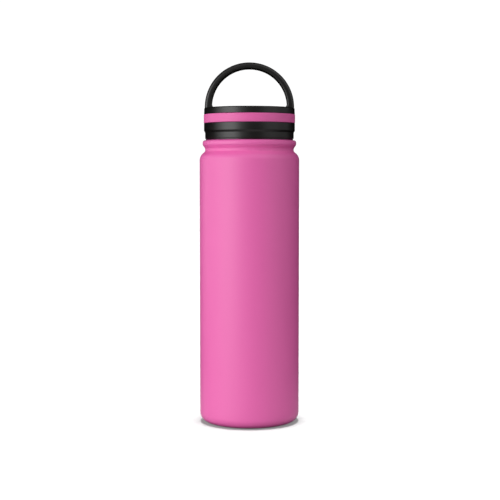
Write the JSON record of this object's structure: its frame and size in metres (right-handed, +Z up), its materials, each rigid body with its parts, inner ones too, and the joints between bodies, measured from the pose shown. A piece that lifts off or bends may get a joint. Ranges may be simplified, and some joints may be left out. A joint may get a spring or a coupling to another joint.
{
  "type": "insulated shaker bottle",
  "caption": "Slim double-wall steel shaker bottle with rounded shoulder and rolled collar, a screw lid with accent band and fixed carry loop, and a loose wire mixing ball.",
  "frame": {"origin": "centre of the foot, on the surface the bottle stands on", "axes": "+Z up along the bottle's axis; the carry loop lies in the XZ plane, so -Y is the front that shows the open loop"},
  "size_m": [0.073, 0.073, 0.2638],
  "materials": {
    "powder_coat": "satin pink powder coat on stainless steel",
    "liner_steel": "electropolished stainless steel with a faint circular grain",
    "base_steel": "fine circular brushed stainless steel",
    "spring_steel": "bright rolled strip",
    "reflective_foil": "bright aluminium foil, slightly creased",
    "braze": "dull brazing metal",
    "getter_metal": "dark sintered metal",
    "black_plastic": "satin moulded black plastic",
    "band_plastic": "satin pink moulded plastic, matched to the coat",
    "foam": "closed-cell foam",
    "silicone": "soft matte grey silicone",
    "wire_steel": "bright polished round wire"
  },
  "bodies": {
    "bottle": {"outer_shell": "powder_coat", "outer_base": "powder_coat", "vacuum_seal": "braze", "base_disc": "base_steel", "getter": "getter_metal", "getter_clip": "spring_steel", "inner_liner": "liner_steel", "liner_base": "liner_steel", "foil_wrap": "reflective_foil"},
    "gasket": {"lid_gasket": "silicone"},
    "lid": {"lid_plug": "black_plastic", "lid_cap": "black_plastic", "accent_band": "band_plastic", "insulation_puck": "foam"},
    "ball": {"mixing_ball": "wire_steel"}
  },
  "joints": [
    {"name": "lid_rise", "type": "slide", "parent": "bottle", "child": "gasket", "axis": [0, 0, 1], "range_m": [0, 0.03201]},
    {"name": "lid_turn", "type": "hinge", "parent": "gasket", "child": "lid", "pos_m": [0, 0, 0.2], "axis": [0, 0, 1], "range_deg": [0, 1440]},
    {"name": "ball_travel", "type": "slide", "parent": "bottle", "child": "ball", "axis": [0, 0, 1], "range_m": [0, 0.1335]}
  ],
  "couplings": [
    {"joint": "lid_rise", "follows": "lid_turn", "m_per_rad": 0.0012732}
  ]
}
